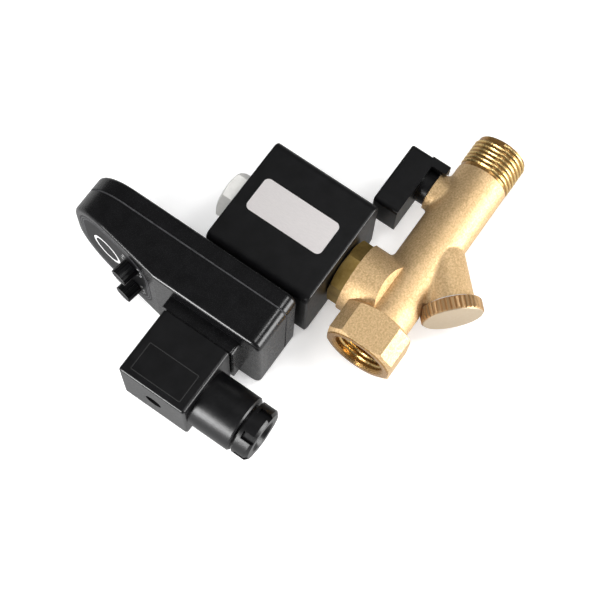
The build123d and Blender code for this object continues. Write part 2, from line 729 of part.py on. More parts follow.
with BuildPart() as coil_nut:
    with BuildSketch(across_solenoid(NUT_BASE)):
        RegularPolygon(NUT_ACROSS / 2, 6, major_radius=False)
    extrude(amount=NUT_HEIGHT)
    nut_corner = NUT_ACROSS / 2 / cos(radians(30))
    add(
        turned(
            [
                (0, NUT_BASE),
                (nut_corner - 0.8, NUT_BASE),
                (nut_corner, NUT_BASE + 0.7),
                (nut_corner, NUT_BASE + NUT_HEIGHT - 1.2),
                (NUT_ACROSS / 2 - 0.6, NUT_BASE + NUT_HEIGHT),
                (0, NUT_BASE + NUT_HEIGHT),
            ],
            turning_plane(COIL_X),
            y_axis(COIL_X),
        ),
        mode=Mode.INTERSECT,
    )
    add(rod(across_solenoid(NUT_BASE), STUD_R, NUT_HEIGHT), mode=Mode.SUBTRACT)


def blade_pair(start_x, length, clearance=0.0):
    """Two flat blades and the wider earth blade of a plug, pointing along -X."""
    with BuildPart() as blades:
        with BuildSketch(across_pipe(start_x)):
            with Locations((PLUG_Y - BLADE_SPACING / 2, 0), (PLUG_Y + BLADE_SPACING / 2, 0)):
                Rectangle(BLADE_THICKNESS + 2 * clearance, BLADE_WIDTH + 2 * clearance)
            with Locations((PLUG_Y, BLADE_SPACING / 3)):
                Rectangle(BLADE_WIDTH + 2 * clearance, BLADE_THICKNESS + 2 * clearance)
        extrude(amount=-length)
    return blades.part


with BuildPart() as coil_terminals:
    add(blade_pair(COIL_FACE_X, COIL_BLADE_LENGTH))

# ---- timer -------------------------------------------------------------------
with BuildPart() as timer_gasket:
    with BuildSketch(across_pipe(TIMER_BACK_X)):
        with Locations((PLUG_Y, 0)):
            RectangleRounded(PLATFORM_WIDTH, PLATFORM_WIDTH, 2.0)
    extrude(amount=TIMER_GASKET)
    add(blade_pair(COIL_FACE_X, TIMER_GASKET, BLADE_CLEARANCE), mode=Mode.SUBTRACT)


screw_plane = Plane(origin=(PLATFORM_X, PLUG_Y, 0), x_dir=(0, 1, 0), z_dir=(1, 0, 0))


def timer_prism(start_x, end_x, inset=0.0):
    """The timer's outline, square at the foot and rounder at the head."""
    with BuildPart() as prism:
        with BuildSketch(across_pipe(start_x)) as outline:
            with Locations((TIMER_START_Y + TIMER_LENGTH / 2, 0)):
                Rectangle(TIMER_LENGTH - 2 * inset, TIMER_WIDTH - 2 * inset)
            fillet(outline.vertices().group_by(Axis.X)[-1], TIMER_HEAD_CORNER - inset)
            fillet(outline.vertices().group_by(Axis.X)[0], TIMER_FOOT_CORNER - inset)
        extrude(amount=end_x - start_x)
    return prism.part


def slope_cut(inset=0.0):
    """The wedge in front of the sloped panel, moved in by an inset."""
    with BuildPart() as wedge:
        with BuildSketch(Plane.XY.offset(-TIMER_WIDTH)):
            with BuildLine():
                foot = SLOPE_FOOT - SLOPE_OUT * inset
                low = foot - SLOPE_ALONG * TIMER_DEPTH
                high = foot + SLOPE_ALONG * (SLOPE_RUN + TIMER_DEPTH)
                Polyline(
                    (low.X, low.Y),
                    (high.X, high.Y),
                    (low.X - TIMER_DEPTH, high.Y),
                    (low.X - TIMER_DEPTH, low.Y),
                    close=True,
                )
            make_face()
        extrude(amount=2 * TIMER_WIDTH)
    return wedge.part


def timer_cavity():
    """The hollow of the front housing, one wall inside its faces."""
    with BuildPart() as cavity:
        add(timer_prism(TIMER_FRONT_X + TIMER_WALL, PARTING_X, TIMER_WALL))
        add(slope_cut(TIMER_WALL), mode=Mode.SUBTRACT)
    return cavity.part


def label_plate(height):
    """The panel label's outline, raised from the bottom of its recess."""
    with BuildPart() as plate:
        with BuildSketch(on_slope(-LABEL_THICKNESS)) as outline:
            with Locations((LABEL_START + LABEL_LENGTH / 2, 0)):
                Rectangle(LABEL_LENGTH, LABEL_WIDTH)
            fillet(outline.vertices().group_by(Axis.X)[-1], TIMER_HEAD_CORNER - LABEL_MARGIN)
            fillet(outline.vertices().group_by(Axis.X)[0], LABEL_FOOT_CORNER)
        extrude(amount=height)
    return plate.part


def knob_holes(radius):
    """Rods through the sloped panel where the two knob shafts pass."""
    with BuildPart() as holes:
        with BuildSketch(on_slope(1)):
            with Locations((KNOB_UP_SLOPE, KNOB_SPACING / 2), (KNOB_UP_SLOPE, -KNOB_SPACING / 2)):
                Circle(radius)
        extrude(amount=-TIMER_WALL - POT_DEPTH - 2)
    return holes.part


with BuildPart() as timer_rear_cover:
    add(timer_prism(PARTING_X + PARTING_GAP, TIMER_BACK_X))
    fillet(faces().sort_by(Axis.X)[-1].edges(), TIMER_EDGE)
    add(
        timer_prism(PARTING_X + PARTING_GAP, TIMER_BACK_X - TIMER_WALL, TIMER_WALL),
        mode=Mode.SUBTRACT,
    )
    add(blade_pair(TIMER_BACK_X, 2 * TIMER_WALL, BLADE_CLEARANCE), mode=Mode.SUBTRACT)

with BuildPart() as timer_front_housing:
    add(timer_prism(TIMER_FRONT_X, PARTING_X))
    add(slope_cut(), mode=Mode.SUBTRACT)
    front_faces = faces().filter_by(lambda face: face.normal_at().X < -0.9)
    front_edges = front_faces[0].edges() + front_faces[1].edges()
    fillet(front_edges.filter_by(lambda edge: abs(edge.center().Y - BEND_Y) > 1), TIMER_EDGE)
    add(timer_cavity(), mode=Mode.SUBTRACT)
    # lip that locates the rear cover and leaves the parting groove
    add(timer_prism(PARTING_X, PARTING_X + PARTING_GAP, PARTING_DEPTH))
    add(timer_prism(PARTING_X, PARTING_X + PARTING_GAP, TIMER_WALL), mode=Mode.SUBTRACT)
    # plug base that carries the connector
    with BuildSketch(across_pipe(TIMER_FRONT_X + TIMER_WALL)):
        with Locations((PLUG_Y, 0)):
            RectangleRounded(PLATFORM_LENGTH, PLATFORM_WIDTH, 1.5)
    extrude(amount=-TIMER_WALL - PLATFORM_HEIGHT)
    add(blade_pair(TIMER_FRONT_X + TIMER_WALL, 20), mode=Mode.SUBTRACT)
    add(rod(screw_plane, SCREW_R, SCREW_BITE), mode=Mode.SUBTRACT)
    # recess for the label, and holes for the knob shafts
    add(label_plate(TIMER_WALL), mode=Mode.SUBTRACT)
    add(knob_holes(KNOB_SHAFT_R + KNOB_GAP), mode=Mode.SUBTRACT)

with BuildPart() as panel_label:
    add(label_plate(LABEL_THICKNESS))
    add(knob_holes(KNOB_SHAFT_R + KNOB_GAP), mode=Mode.SUBTRACT)


def control_knob(side):
    """A ribbed trimmer knob with its shaft; side is +1 or -1 across the panel."""
    middle = on_slope(0).from_local_coords((KNOB_UP_SLOPE, side * KNOB_SPACING / 2, 0))
    seat = Plane(origin=middle, x_dir=SLOPE_ALONG, z_dir=SLOPE_OUT)
    with BuildPart() as knob:
        with BuildSketch(seat.offset(KNOB_GAP)):
            Circle(KNOB_R - 0.2)
            with PolarLocations(KNOB_R - 0.25, KNOB_RIBS):
                Rectangle(KNOB_RIB, KNOB_RIB)
        extrude(amount=KNOB_HEIGHT)
        with BuildSketch(seat.offset(KNOB_GAP + KNOB_HEIGHT)):
            Rectangle(2 * KNOB_R, POINTER_WIDTH)
        extrude(amount=-POINTER_DEPTH, mode=Mode.SUBTRACT)
        with BuildSketch(seat.offset(KNOB_GAP)):
            Circle(KNOB_SHAFT_R)
        extrude(amount=-KNOB_GAP - TIMER_WALL - SHAFT_DEPTH)
    return knob.part


with BuildPart() as interval_knob:
    add(control_knob(1))

with BuildPart() as discharge_knob:
    add(control_knob(-1))

with BuildPart() as potentiometers:
    with BuildSketch(on_slope(-TIMER_WALL - 0.2)):
        with Locations((KNOB_UP_SLOPE, KNOB_SPACING / 2), (KNOB_UP_SLOPE, -KNOB_SPACING / 2)):
            RectangleRounded(POT_SIZE, POT_SIZE, 1.0)
    extrude(amount=-POT_DEPTH)
    add(knob_holes(KNOB_SHAFT_R + SHAFT_CLEARANCE), mode=Mode.SUBTRACT)

with BuildPart() as timer_board:
    board_start = TIMER_START_Y + TIMER_WALL + 2
    add(
        block(
            (BOARD_X, BOARD_X + BOARD_THICKNESS),
            (board_start, board_start + BOARD_LENGTH),
            (-BOARD_WIDTH / 2, BOARD_WIDTH / 2),
        )
    )

with BuildPart() as timer_terminals:
    add(blade_pair(BOARD_X, BOARD_X - CONNECTOR_X + TIMER_BLADE_REACH))

# ---- cable connector ---------------------------------------------------------
with BuildPart() as connector_gasket:
    with BuildSketch(across_pipe(CONNECTOR_X)):
        with Locations((PLUG_Y, 0)):
            RectangleRounded(CONNECTOR_WIDTH - 1, CONNECTOR_WIDTH - 1, 1.5)
            Circle(SCREW_R + 0.2, mode=Mode.SUBTRACT)
    extrude(amount=CONNECTOR_GASKET)
    add(blade_pair(PLATFORM_X, CONNECTOR_GASKET, BLADE_CLEARANCE), mode=Mode.SUBTRACT)

with BuildPart() as connector_housing:
    with BuildSketch(across_pipe(CONNECTOR_FAR_X)):
        with Locations((PLUG_Y, 0)):
            RectangleRounded(CONNECTOR_WIDTH, CONNECTOR_WIDTH, 1.2)
    extrude(amount=CONNECTOR_DEPTH)
    fillet(faces().sort_by(Axis.X)[0].edges(), 1.0)
    # barrel for the cable gland, with the bead round its foot
    add(rod(across_solenoid(BARREL_END, GLAND_X), BARREL_R, BARREL_LENGTH + 1))
    chamfer(edges().filter_by(GeomType.CIRCLE).sort_by(Axis.Y)[0], 0.6)
    # hollow for the terminal insert, open towards the timer
    hollow = CONNECTOR_WIDTH - 2 * CONNECTOR_WALL
    with BuildSketch(across_pipe(CONNECTOR_X)):
        with Locations((PLUG_Y, 0)):
            RectangleRounded(hollow, hollow, 1.0)
    extrude(amount=-CONNECTOR_DEPTH + CONNECTOR_WALL, mode=Mode.SUBTRACT)
    far_plane = Plane(origin=(CONNECTOR_FAR_X, PLUG_Y, 0), x_dir=(0, 1, 0), z_dir=(1, 0, 0))
    add(rod(far_plane, SCREW_HOLE_R + 1.5, SCREW_RECESS + CONNECTOR_WALL))
    add(rod(far_plane, SCREW_HOLE_R, SCREW_RECESS), mode=Mode.SUBTRACT)
    add(rod(far_plane, SCREW_R + 0.2, CONNECTOR_DEPTH), mode=Mode.SUBTRACT)
    # gland bore and the way in for the cable
    gland_bore = GLAND_NUT_SPIGOT + GLAND_WASHER + GLAND_SEAL_LENGTH
    add(rod(across_solenoid(BARREL_END, GLAND_X), BARREL_BORE_R, gland_bore), mode=Mode.SUBTRACT)
    cable_way = BARREL_LENGTH + CONNECTOR_WALL + 1
    add(rod(across_solenoid(BARREL_END, GLAND_X), CABLE_R + 0.5, cable_way), mode=Mode.SUBTRACT)

with BuildPart() as connector_insert:
    insert_width = hollow - 2 * INSERT_CLEARANCE
    with BuildSketch(across_pipe(CONNECTOR_X)):
        with Locations((PLUG_Y, 0)):
            RectangleRounded(insert_width, insert_width, 1.0)
            Circle(SCREW_R + 0.2, mode=Mode.SUBTRACT)
    extrude(amount=-INSERT_DEPTH)
    add(blade_pair(CONNECTOR_X, TIMER_BLADE_REACH + 0.5, BLADE_CLEARANCE / 3), mode=Mode.SUBTRACT)

with BuildPart() as connector_screw:
    head_plane = far_plane.offset(SCREW_RECESS)
    add(rod(head_plane, SCREW_R, PLATFORM_X + SCREW_BITE - CONNECTOR_FAR_X - SCREW_RECESS))
    add(rod(head_plane, SCREW_HEAD_R, -SCREW_HEAD_HEIGHT))
    with BuildSketch(head_plane.offset(-SCREW_HEAD_HEIGHT)):
        Rectangle(2 * SCREW_HEAD_R, 0.8)
    extrude(amount=1.0, mode=Mode.SUBTRACT)

with BuildPart() as gland_nut:
    nut_end = BARREL_END - NUT_GAP - GLAND_NUT_LENGTH
    add(rod(across_solenoid(nut_end, GLAND_X), GLAND_NUT_R, GLAND_NUT_LENGTH))
    chamfer(edges().filter_by(GeomType.CIRCLE).sort_by(Axis.Y)[0], 1.0)
    spigot = NUT_GAP + GLAND_NUT_SPIGOT
    add(rod(across_solenoid(BARREL_END - NUT_GAP, GLAND_X), BARREL_BORE_R, spigot))
    # notches round the end
    with BuildSketch(across_solenoid(nut_end, GLAND_X)):
        with PolarLocations(GLAND_NUT_R, GLAND_NUT_SLOTS):
            Rectangle(2 * GLAND_SLOT_DEPTH, GLAND_SLOT_WIDTH)
    extrude(amount=GLAND_NUT_LENGTH - 1.2, mode=Mode.SUBTRACT)
    add(
        turned(
            [
                (0, nut_end),
                (CABLE_R + 2.2, nut_end),
                (CABLE_R + 1.0, nut_end + GLAND_NUT_FUNNEL),
                (CABLE_R + 1.0, BARREL_END + GLAND_NUT_SPIGOT),
                (0, BARREL_END + GLAND_NUT_SPIGOT),
            ],
            turning_plane(GLAND_X),
            y_axis(GLAND_X),
        ),
        mode=Mode.SUBTRACT,
    )

with BuildPart() as gland_washer:
    washer_plane = across_solenoid(BARREL_END + GLAND_NUT_SPIGOT, GLAND_X)
    add(ring(washer_plane, BARREL_BORE_R - 0.1, CABLE_R + 0.5, GLAND_WASHER))

with BuildPart() as gland_seal:
    seal_base = BARREL_END + GLAND_NUT_SPIGOT + GLAND_WASHER
    add(ring(across_solenoid(seal_base, GLAND_X), BARREL_BORE_R - 0.1, CABLE_R, GLAND_SEAL_LENGTH))

# ---- write one file for each piece -------------------------------------------
pieces = {
    "valve_body": valve_body,
    "valve_ball": valve_ball,
    "inlet_ball_seat": inlet_ball_seat,
    "outlet_ball_seat": outlet_ball_seat,
    "ball_retainer": ball_retainer,
    "valve_stem": valve_stem,
    "stem_seal": stem_seal,
    "stem_gland": stem_gland,
    "valve_handle": valve_handle,
    "handle_screw": handle_screw,
    "strainer_screen": strainer_screen,
    "strainer_cap_seal": strainer_cap_seal,
    "strainer_cap": strainer_cap,
    "bonnet": bonnet,
    "bonnet_o_ring": bonnet_o_ring,
    "armature_tube": armature_tube,
    "fixed_core": fixed_core,
    "plunger": plunger,
    "plunger_seal": plunger_seal,
    "plunger_spring": plunger_spring,
    "coil_gasket": coil_gasket,
    "coil_housing": coil_housing,
    "coil_nameplate": coil_nameplate,
    "coil_washer": coil_washer,
    "coil_nut": coil_nut,
    "coil_terminals": coil_terminals,
    "timer_gasket": timer_gasket,
    "timer_rear_cover": timer_rear_cover,
    "timer_front_housing": timer_front_housing,
    "panel_label": panel_label,
    "interval_knob": interval_knob,
    "discharge_knob": discharge_knob,
    "potentiometers": potentiometers,
    "timer_board": timer_board,
    "timer_terminals": timer_terminals,
    "connector_gasket": connector_gasket,
    "connector_housing": connector_housing,
    "connector_insert": connector_insert,
    "connector_screw": connector_screw,
    "gland_nut": gland_nut,
    "gland_washer": gland_washer,
    "gland_seal": gland_seal,
}

os.makedirs("parts", exist_ok=True)
for name, piece in pieces.items():
    piece.part.label = name
    export_step(piece.part, f"parts/{name}.step")
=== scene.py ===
"""Finishes, threads, panel printing and studio for an automatic drain valve."""

import json
from math import pi, radians, tau

import bmesh
import bpy
from bpy.props import FloatProperty, FloatVectorProperty, IntProperty, PointerProperty
from mathutils import Matrix, Vector


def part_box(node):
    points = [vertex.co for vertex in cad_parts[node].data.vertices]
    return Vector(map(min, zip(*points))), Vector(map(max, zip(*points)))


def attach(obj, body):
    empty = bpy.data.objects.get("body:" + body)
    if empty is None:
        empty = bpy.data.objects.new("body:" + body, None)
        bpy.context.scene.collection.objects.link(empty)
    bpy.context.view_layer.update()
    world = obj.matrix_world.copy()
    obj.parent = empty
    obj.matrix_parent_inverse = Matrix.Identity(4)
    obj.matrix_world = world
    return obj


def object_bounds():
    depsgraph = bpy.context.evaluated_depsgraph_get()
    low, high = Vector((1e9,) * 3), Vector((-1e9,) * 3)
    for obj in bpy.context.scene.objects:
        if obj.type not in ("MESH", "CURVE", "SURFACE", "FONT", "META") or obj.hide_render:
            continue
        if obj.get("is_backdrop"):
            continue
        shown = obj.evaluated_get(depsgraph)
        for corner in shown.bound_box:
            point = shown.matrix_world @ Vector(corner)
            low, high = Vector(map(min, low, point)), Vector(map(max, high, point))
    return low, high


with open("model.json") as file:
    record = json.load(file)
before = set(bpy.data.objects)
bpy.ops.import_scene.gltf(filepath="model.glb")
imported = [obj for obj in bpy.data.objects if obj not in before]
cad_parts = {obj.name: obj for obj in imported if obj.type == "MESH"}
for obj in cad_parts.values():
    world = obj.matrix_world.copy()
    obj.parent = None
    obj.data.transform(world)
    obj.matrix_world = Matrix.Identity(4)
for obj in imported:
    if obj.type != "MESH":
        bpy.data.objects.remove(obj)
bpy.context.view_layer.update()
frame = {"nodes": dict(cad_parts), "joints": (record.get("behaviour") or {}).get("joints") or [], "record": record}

bl_info = {
    "name": "Automatic drain valve",
    "version": (1, 0, 0),
    "blender": (4, 5, 0),
    "location": "View3D > Sidebar > Drain valve",
    "description": "Finishes, threads, printing and studio for a timer-controlled drain valve",
    "category": "Object",
}

MM = 0.001
ROOT = "valve"  # the body that everything fixed rides on

# threads, in pitches unless said otherwise
THREAD_ROOT = 0.44  # half the ridge's width at its foot
THREAD_CREST = 0.07  # half the ridge's width at its top
THREAD_SINK = 0.05 * MM  # how far a ridge's foot is sunk into the metal
INLET_RUNOUT = 0.55  # from either end of the spigot to the ridge
OUTLET_RUNOUT = 0.6  # from either end of the tapped length to the ridge

# the panel's printing
BORDER_MARGINS = (0.7 * MM, 1.6 * MM)  # from the label's edge to each line
BORDER_FOOT_CORNER = 12 * MM
BORDER_HEAD_CORNER = 14 * MM
RING_UP_PANEL = 13.9 * MM  # from the knobs to the ring's centre
RING_FACETS = 72
DIAL_REACH = 5  # marks on either side of each dial's middle one
DIAL_ANGLE = 27  # degrees between two marks
MARK_START = 4.4 * MM  # from a knob's axis to its marks
LONG_MARK = 1.5 * MM
SHORT_MARK = 0.9 * MM
CORNER_FACETS = 14

# the timer's outline in the CAD model
FOOT_CORNER = 4.0 * MM
HEAD_CORNER = 17.0 * MM
PARTING_GROOVE = 0.8 * MM

# the raised line on the connector
LID_LENGTH = 11.5 * MM
LID_WIDTH = 21.0 * MM
LID_CORNER = 0.5 * MM
LID_RAISE = 0.1 * MM
LID_FROM_END = 2.5 * MM
LID_FROM_EDGE = 3.3 * MM

# limits of the masks on the brass: painted shade and a smoother finish on the machined ends, painted shade on the
# cap's knurl
SPIGOT_MARGIN = 0.5 * MM  # past the inlet's threaded length
MOUTH_MARGIN = 1.0 * MM  # past the outlet's tapped length
BORE_MARGIN = 0.6 * MM  # outside the outlet's pitch radius
END_FACE_MARGIN = 0.7 * MM  # from the outlet's mount outwards to the end face's mask
CAP_FACE_MARGIN = 0.25 * MM  # below the cap's outermost face
MACHINED_GLOSS = 0.26  # how much smoother the machined ends are
MACHINED_LEVEL = 0.85  # how much of the forging's grain they lose

# studio
FLOOR_HALF = 0.55  # half the side of the floor, in metres
FLOOR_GAP = 0.05 * MM  # between the floor and the object
REFLECTED_PAPER = (0.46, 0.46, 0.46)  # the floor's colour to all but camera rays
REFLECTED_GLOW = 0.1
SEEN_GLOW = 0.28
DOME_FILL = 0.12  # the world's strength as a light
DOME_SEEN = 1.0  # and as a background
# name, offset from the object's centre in metres, width in metres, power in watts
LIGHTS = (
    ("key_light", (0.19, -0.64, 0.13), 0.40, 6.0),
    ("edge_light", (-0.62, 0.19, 0.17), 0.26, 6.0),
    ("form_light", (0.26, -0.31, 0.82), 0.20, 2.1),
    ("overhead_light", (-0.25, 0.15, 1.0), 0.9, 8.0),
)
UNREFLECTED_LIGHT = "overhead_light"  # it only fills, so that black plastic stays black
CAMERA_PLACE = (-0.2327, -0.0552, 0.4848)
CAMERA_VIEW = (0.27880, 0.16480, -0.94610)
CAMERA_UP = (0.77025, 0.55002, 0.32279)
CAMERA_LENS = 85.8
CAMERA_SHIFT = (0.0018, -0.0052)


# ---- frame helpers -----------------------------------------------------------
def mount(name):
    """One of the record's mounts, by its name."""
    return next(item for item in frame["record"]["mounts"] if item["name"] == name)


def joint(name):
    """One of the model's joints, by its name."""
    return next(item for item in frame["joints"] if item["name"] == name)


INLET_R = mount("inlet_thread")["dims"]["r_mm"] * MM
INLET_LENGTH = mount("inlet_thread")["dims"]["length_mm"] * MM
OUTLET_R = mount("outlet_thread")["dims"]["r_mm"] * MM
OUTLET_LENGTH = mount("outlet_thread")["dims"]["length_mm"] * MM
OUTLET_MOUTH = Vector(mount("outlet_thread")["pos_m"])
BRANCH_OUT = Vector((-1, -1, 0)).normalized()
PANEL_OUT = Vector(joint("interval_turn")["axis"]).normalized()
PANEL_ALONG = Vector((PANEL_OUT.y, -PANEL_OUT.x, 0))
KNOBS = [Vector(joint(name)["pos_m"]) for name in ("interval_turn", "discharge_turn")]


# ---- sizes and colours -------------------------------------------------------
def size(name, description, default, unit="LENGTH"):
    """A property for one length or angle."""
    return FloatProperty(name=name, description=description, default=default, unit=unit)


def colour(name, description, default):
    """A property for one colour."""
    return FloatVectorProperty(
        name=name,
        description=description,
        default=default,
        subtype="COLOR",
        size=3,
        min=0.0,
        max=1.0,
    )


class DrainValveSizes(bpy.types.PropertyGroup):
    """Sizes of the pieces that are added to the CAD model"""

    thread_pitch: size("Thread pitch", "Distance between two crests", 1.814 * MM)
    thread_height: size("Thread height", "Crest above the pitch cylinder", 0.58 * MM)
    thread_steps: IntProperty(name="Thread steps", description="Facets in one turn", default=56)
    ink_height: size("Ink height", "Thickness of the printed ink", 0.03 * MM)
    ink_line: size("Ink line", "Width of the panel's border lines", 0.35 * MM)
    print_ring: size("Printed ring", "Outer radius of the ring on the panel", 6.8 * MM)
    print_ring_width: size("Ring width", "Width of the ring's line", 1.2 * MM)
    # the seam's bead is lighter than the black plastic, a painted highlight of the parting line
    seam_depth: size("Seam depth", "How far the seam's seal lies under the surface", 0.08 * MM)
    seam_width: size("Seam width", "Width of the seal in the seam", 0.5 * MM)
    seam_land: size("Seam land", "How far the seal reaches inwards", 0.6 * MM)
    lid_line: size("Lid line", "Width of the connector lid's raised line", 0.3 * MM)


class DrainValveColours(bpy.types.PropertyGroup):
    """Colours of the finishes"""

    brass_light: colour("Brass, light", "Blasted brass at its lightest", (0.87, 0.63, 0.35))
    brass_dark: colour("Brass, dark", "Blasted brass at its darkest", (0.60, 0.39, 0.18))
    brass_cut: colour("Brass, machined", "Freshly cut brass", (0.92, 0.66, 0.28))
    cap_face: colour("Cap's face", "The strainer cap's turned face", (0.74, 0.60, 0.42))
    # painted shade: the knurled rim's darker brown stands in for the shade in its grooves
    knurl_painted_shade: colour("Knurl", "The strainer cap's knurled rim", (0.66, 0.42, 0.21))
    # painted shade: this dark brown stands in for the shade in the thread roots and the outlet's bore, and it
    # covers the machined ends too
    brass_painted_shade: colour("Brass, shaded", "Machined ends and thread roots", (0.42, 0.23, 0.07))
    brass_aged: colour("Brass, aged", "The tarnished bonnet", (0.50, 0.34, 0.11))
    black: colour("Black plastic", "Glass-filled nylon", (0.0025, 0.0025, 0.0028))
    black_worn: colour("Black, rubbed", "Nylon where it is handled", (0.0045, 0.0045, 0.005))
    ink: colour("Ink", "White printing ink", (0.80, 0.80, 0.80))
    faint_ink: colour("Grey ink", "The border's grey ink", (0.07, 0.07, 0.075))
    # painted highlight: a grey lighter than the black plastic, laid in the parting groove as the groove edge's
    # highlight
    seam: colour("Seam", "The seal in the timer's parting line", (0.035, 0.035, 0.037))
    plate: colour("Name plate", "Satin aluminium", (0.92, 0.88, 0.87))
    steel: colour("Steel", "Zinc plated steel", (0.72, 0.72, 0.73))
    floor: colour("Floor", "The studio's paper", (0.93, 0.93, 0.93))


# ---- materials ---------------------------------------------------------------
def start_material(name, base, metallic, roughness, specular=0.5):
    """A material with its shader's plain sockets set."""
    material = bpy.data.materials.new(name)
    material.use_nodes = True
    shader = material.node_tree.nodes["Principled BSDF"]
    shader.inputs["Base Color"].default_value = (*base, 1.0)
    shader.inputs["Metallic"].default_value = metallic
    shader.inputs["Roughness"].default_value = roughness
    shader.inputs["Specular IOR Level"].default_value = specular
    return material, material.node_tree, shader


def add_node(tree, kind, **values):
    """A new node with some of its inputs set."""
    new = tree.nodes.new(kind)
    for name, value in values.items():
        new.inputs[name.replace("_", " ")].default_value = value
    return new


def object_place(tree):
    """The Object coordinates, which are the shared frame's metres."""
    return tree.nodes.new("ShaderNodeTexCoord").outputs["Object"]


def noise(tree, scale, detail=3.0, stretch=(1, 1, 1)):
    """A noise texture on Object coordinates, with scale in cells per metre."""
    mapping = add_node(tree, "ShaderNodeMapping", Scale=stretch)
    texture = add_node(tree, "ShaderNodeTexNoise", Scale=scale, Detail=detail, Roughness=0.6)
    tree.links.new(object_place(tree), mapping.inputs["Vector"])
    tree.links.new(mapping.outputs["Vector"], texture.inputs["Vector"])
    return texture.outputs["Fac"]


def drift_colour(tree, shader, pattern, dark, light, low=0.35, high=0.65):
    """The base colour wanders between two colours."""
    ramp = tree.nodes.new("ShaderNodeValToRGB")
    ramp.color_ramp.elements[0].position = low
    ramp.color_ramp.elements[0].color = (*dark, 1.0)
    ramp.color_ramp.elements[1].position = high
    ramp.color_ramp.elements[1].color = (*light, 1.0)
    tree.links.new(pattern, ramp.inputs["Fac"])
    tree.links.new(ramp.outputs["Color"], shader.inputs["Base Color"])


def drift_roughness(tree, shader, pattern, low, high):
    """The roughness wanders between two values."""
    spread = add_node(tree, "ShaderNodeMapRange", To_Min=low, To_Max=high)
    spread.inputs["From Min"].default_value = 0.3
    spread.inputs["From Max"].default_value = 0.7
    tree.links.new(pattern, spread.inputs["Value"])
    tree.links.new(spread.outputs["Result"], shader.inputs["Roughness"])


def raise_grain(tree, shader, patterns):
    """Bumps stacked on each other, as (pattern, strength, height in metres)."""
    normal = None
    for pattern, strength, height in patterns:
        bump = add_node(tree, "ShaderNodeBump", Strength=strength, Distance=height)
        tree.links.new(pattern, bump.inputs["Height"])
        if normal is not None:
            tree.links.new(normal, bump.inputs["Normal"])
        normal = bump.outputs["Normal"]
    tree.links.new(normal, shader.inputs["Normal"])


def combine(tree, operation, first, second):
    """A maths node on two outputs, or on an output and a number."""
    maths = tree.nodes.new("ShaderNodeMath")
    maths.operation = operation
    tree.links.new(first, maths.inputs[0])
    if isinstance(second, float):
        maths.inputs[1].default_value = second
    else:
        tree.links.new(second, maths.inputs[1])
    return maths.outputs["Value"]


def machined_and_shaded_zone(tree):
    """1 on the inlet's spigot and in the outlet's mouth, 0 on the rest of the forging; the 1 gets painted shade
    and a smoother finish.
    """
    split = tree.nodes.new("ShaderNodeSeparateXYZ")
    tree.links.new(object_place(tree), split.inputs["Vector"])
    along, across, up = (split.outputs[axis] for axis in "XYZ")
    squared = combine(
        tree, "ADD", combine(tree, "POWER", across, 2.0), combine(tree, "POWER", up, 2.0)
    )
    spigot = combine(tree, "GREATER_THAN", along, -INLET_LENGTH - SPIGOT_MARGIN)
    tapped_end = OUTLET_MOUTH.x + OUTLET_LENGTH + MOUTH_MARGIN
    near_mouth = combine(tree, "LESS_THAN", along, tapped_end)
    in_bore = combine(tree, "LESS_THAN", squared, (OUTLET_R + BORE_MARGIN) ** 2)
    end_face = combine(tree, "LESS_THAN", along, OUTLET_MOUTH.x - END_FACE_MARGIN)
    mouth = combine(tree, "MAXIMUM", combine(tree, "MULTIPLY", near_mouth, in_bore), end_face)
    return combine(tree, "MAXIMUM", spigot, mouth)


def blend_colours(tree, factor, first, second):
    """A mix of a colour output with a fixed colour."""
    mixed = tree.nodes.new("ShaderNodeMix")
    mixed.data_type = "RGBA"
    tree.links.new(factor, mixed.inputs["Factor"])
    tree.links.new(first, mixed.inputs["A"])
    mixed.inputs["B"].default_value = (*second, 1.0)
    return mixed.outputs["Result"]


def blasted_brass(name, colours):
    """Forged brass, shot blasted, with smoother machined ends painted browner as shade."""
    material, tree, shader = start_material(name, colours.brass_light, 0.78, 0.5)
    drift_colour(tree, shader, noise(tree, 1500, 4), colours.brass_dark, colours.brass_light)
    drift_roughness(tree, shader, noise(tree, 900, 4), 0.44, 0.58)
    machined_shade_zone = machined_and_shaded_zone(tree)
    blasted = shader.inputs["Base Color"].links[0].from_socket
    # painted shade: the machined ends take the dark brown of the thread roots' shade
    cut_and_shaded = blend_colours(tree, machined_shade_zone, blasted, colours.brass_painted_shade)
    tree.links.new(cut_and_shaded, shader.inputs["Base Color"])
    rough = shader.inputs["Roughness"].links[0].from_socket
    smoother = combine(tree, "SUBTRACT", rough, combine(tree, "MULTIPLY", machined_shade_zone, MACHINED_GLOSS))
    tree.links.new(smoother, shader.inputs["Roughness"])
    flat = combine(tree, "MULTIPLY", machined_shade_zone, -MACHINED_LEVEL)
    level = combine(tree, "ADD", flat, 1.0)
    grain = combine(tree, "MULTIPLY", noise(tree, 2600, 2), level)
    dents = combine(tree, "MULTIPLY", noise(tree, 1300, 3), level)
    raise_grain(tree, shader, [(dents, 0.3, 0.12 * MM), (grain, 0.85, 0.15 * MM)])
    shader.inputs["Coat Weight"].default_value = 0.15
    shader.inputs["Coat Roughness"].default_value = 0.45
    return material


